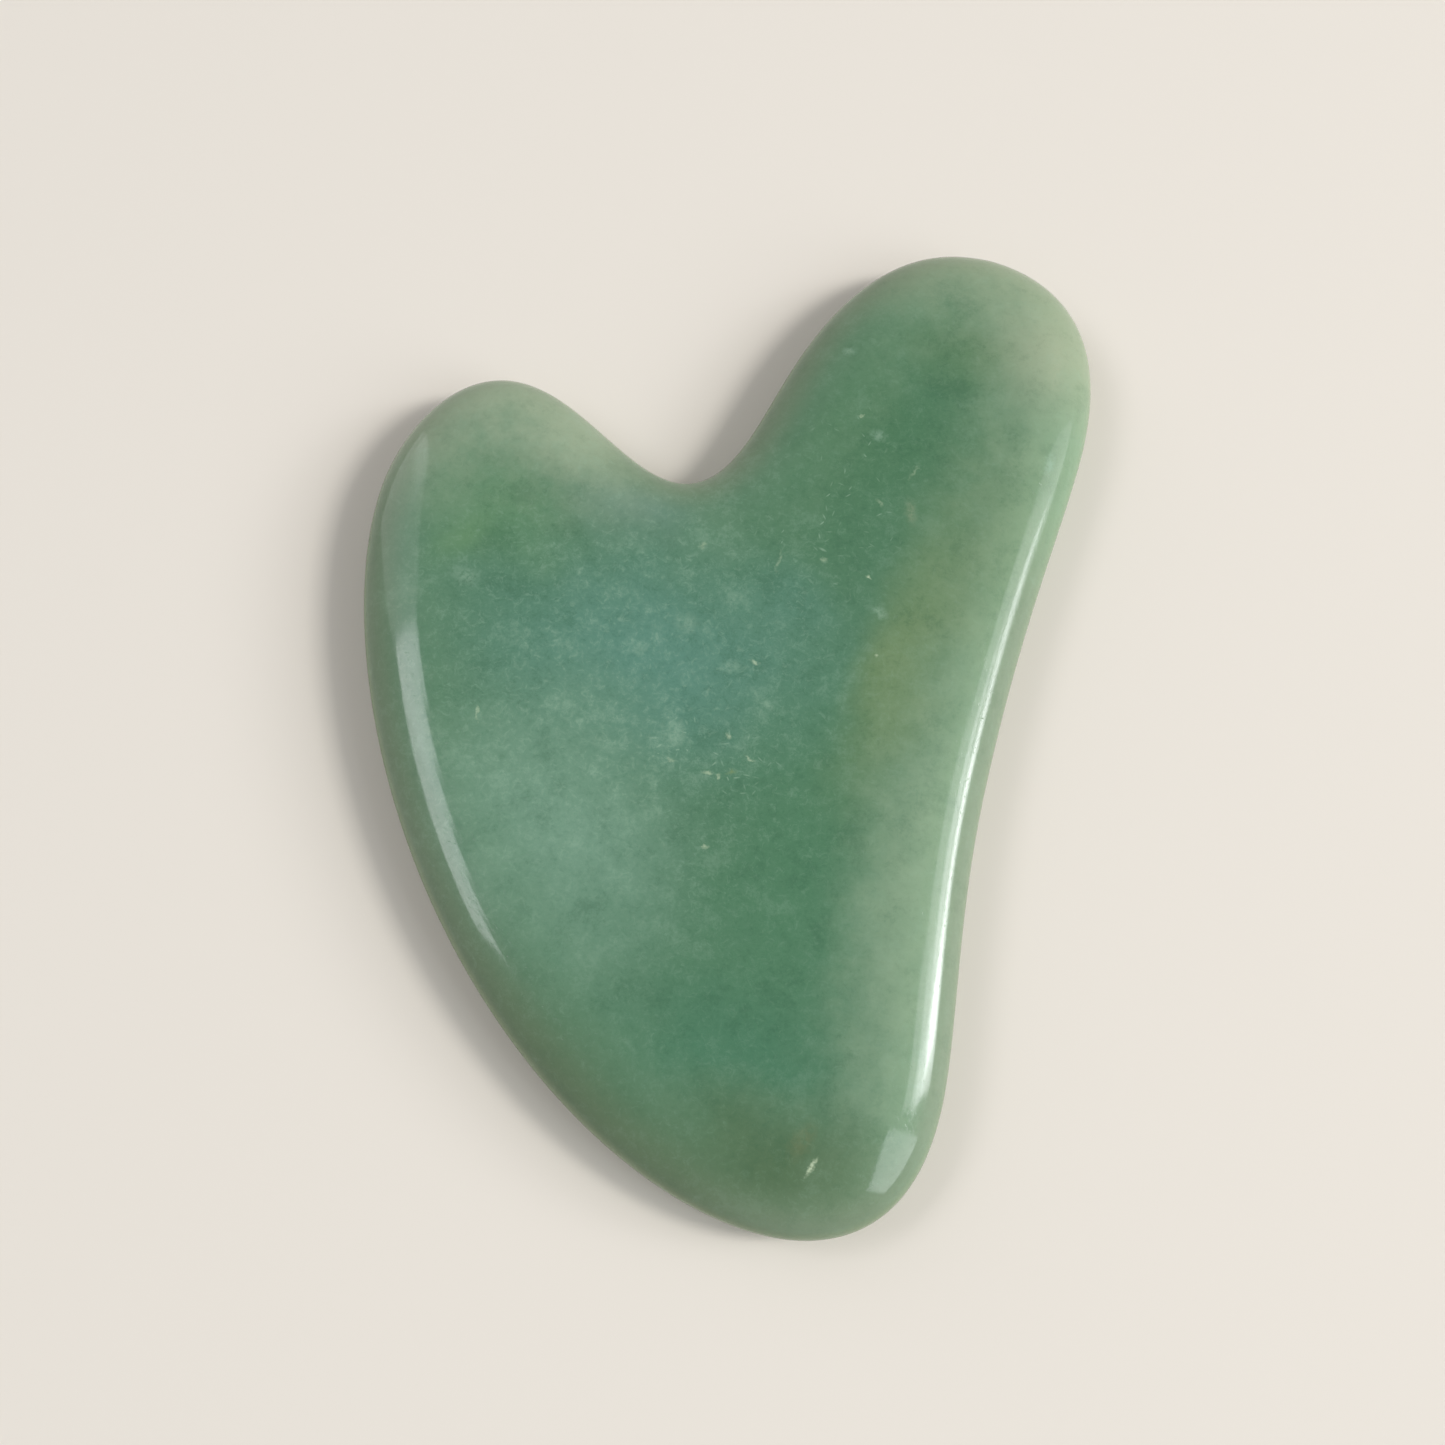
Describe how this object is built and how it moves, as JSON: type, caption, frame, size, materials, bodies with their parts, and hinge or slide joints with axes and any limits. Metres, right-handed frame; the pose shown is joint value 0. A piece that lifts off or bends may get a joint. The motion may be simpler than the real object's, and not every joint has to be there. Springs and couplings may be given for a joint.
{
  "type": "gua sha scraper",
  "caption": "Flat heart-shaped massage stone with unequal lobes, a notch between them, a hollow side and a fully rounded polished rim, drawn by hand over the skin.",
  "frame": {"origin": "centre of the bounding box in X and Y, on the lower flat face", "axes": "+Y along the length from the tip to the crown of the tall lobe, +X across the width towards the hollow side, +Z through the thickness"},
  "size_m": [0.055, 0.082, 0.0065],
  "materials": {
    "polished_green_stone": "polished, slightly translucent green stone, taken for aventurine quartz by its look"
  },
  "bodies": {
    "root": {"scraper_stone": "polished_green_stone"}
  },
  "joints": []
}
